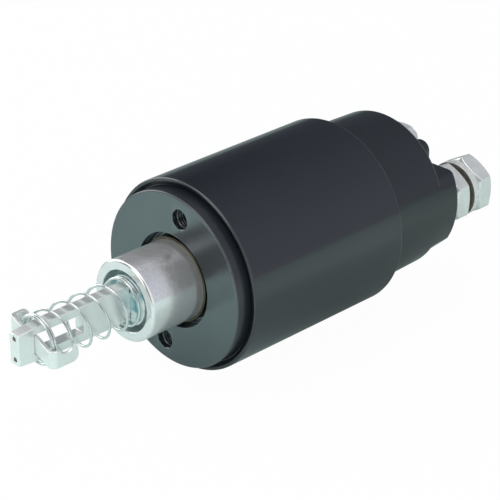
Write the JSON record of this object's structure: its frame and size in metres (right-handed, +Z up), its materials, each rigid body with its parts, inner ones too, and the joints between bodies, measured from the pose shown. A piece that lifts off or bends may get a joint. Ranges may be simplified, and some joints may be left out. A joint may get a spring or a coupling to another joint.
{
  "type": "starter solenoid",
  "caption": "Round starter solenoid with a sliding plunger, sprung hook bar and clip, flange face with tapped holes, moulded switch cap and threaded terminals.",
  "frame": {"origin": "centre of the mounting face and of its two tapped holes, on the plunger's axis", "axes": "+Y along the plunger's axis towards the terminals, so the plunger pulls in along +Y; +Z up, towards the switch terminal; +X towards the motor terminal"},
  "size_m": [0.058, 0.1713, 0.058],
  "materials": {
    "can_paint": "semi-gloss blue-black",
    "plate_steel": "satin grey passivated steel",
    "plunger_steel": "ground plated steel",
    "core_steel": "machined steel",
    "zinc": "bright blue-white zinc",
    "spring_steel": "bright zinc-plated spring wire",
    "brass": "satin drawn brass",
    "copper": "machined copper",
    "copper_wire": "enamelled copper wire",
    "cap_plastic": "moulded thermoset",
    "bobbin_plastic": "moulded nylon",
    "insulator": "phenolic insulator",
    "gasket_rubber": "moulded rubber"
  },
  "bodies": {
    "housing": {"can": "can_paint", "front_plate": "plate_steel", "guide_sleeve": "brass", "bobbin": "bobbin_plastic", "hold_in_winding": "copper_wire", "pull_in_winding": "copper_wire", "fixed_core": "core_steel", "cap_gasket": "gasket_rubber", "lead_grommets": "gasket_rubber", "pull_in_lead": "copper_wire", "switch_lead": "copper_wire", "switch_cap": "cap_plastic", "motor_stud": "zinc", "motor_inner_nut": "zinc", "motor_lock_washer": "zinc", "motor_outer_nut": "zinc", "battery_stud": "zinc", "battery_inner_nut": "zinc", "battery_lock_washer": "zinc", "battery_outer_nut": "zinc", "switch_stud": "zinc", "switch_washer": "zinc", "switch_nut": "zinc", "plunger_return_spring": "spring_steel", "contact_return_spring": "spring_steel"},
    "plunger": {"plunger": "plunger_steel", "spring_seat": "zinc", "meshing_spring": "spring_steel", "lever_spring": "spring_steel"},
    "hook": {"hook_bar": "zinc", "hook_head_washer": "zinc"},
    "clip": {"spring_clip": "zinc"},
    "contact": {"push_rod": "core_steel", "contact_spring": "spring_steel", "bridge_bush": "insulator", "contact_bridge": "copper", "bridge_washer": "insulator", "rod_clip": "spring_steel"}
  },
  "joints": [
    {"name": "plunger_slide", "type": "slide", "parent": "housing", "child": "plunger", "axis": [0, 1, 0], "range_m": [0, 0.011], "stiffness_N_per_m": 2500, "springref_m": -0.012, "deforming": ["plunger_return_spring"]},
    {"name": "hook_slide", "type": "slide", "parent": "plunger", "child": "hook", "axis": [0, -1, 0], "range_m": [0, 0.006], "stiffness_N_per_m": 6000, "springref_m": -0.01, "deforming": ["meshing_spring", "lever_spring"]},
    {"name": "clip_slide", "type": "slide", "parent": "hook", "child": "clip", "axis": [0, 1, 0], "range_m": [0, 0.01], "stiffness_N_per_m": 800, "springref_m": -0.01, "deforming": ["lever_spring"]},
    {"name": "contact_slide", "type": "slide", "parent": "housing", "child": "contact", "axis": [0, 1, 0], "range_m": [0, 0.003], "stiffness_N_per_m": 1500, "springref_m": -0.004, "deforming": ["contact_return_spring"]}
  ],
  "couplings": [
    {"joint": "contact_slide", "follows": "plunger_slide", "ratio": 0.2727}
  ]
}
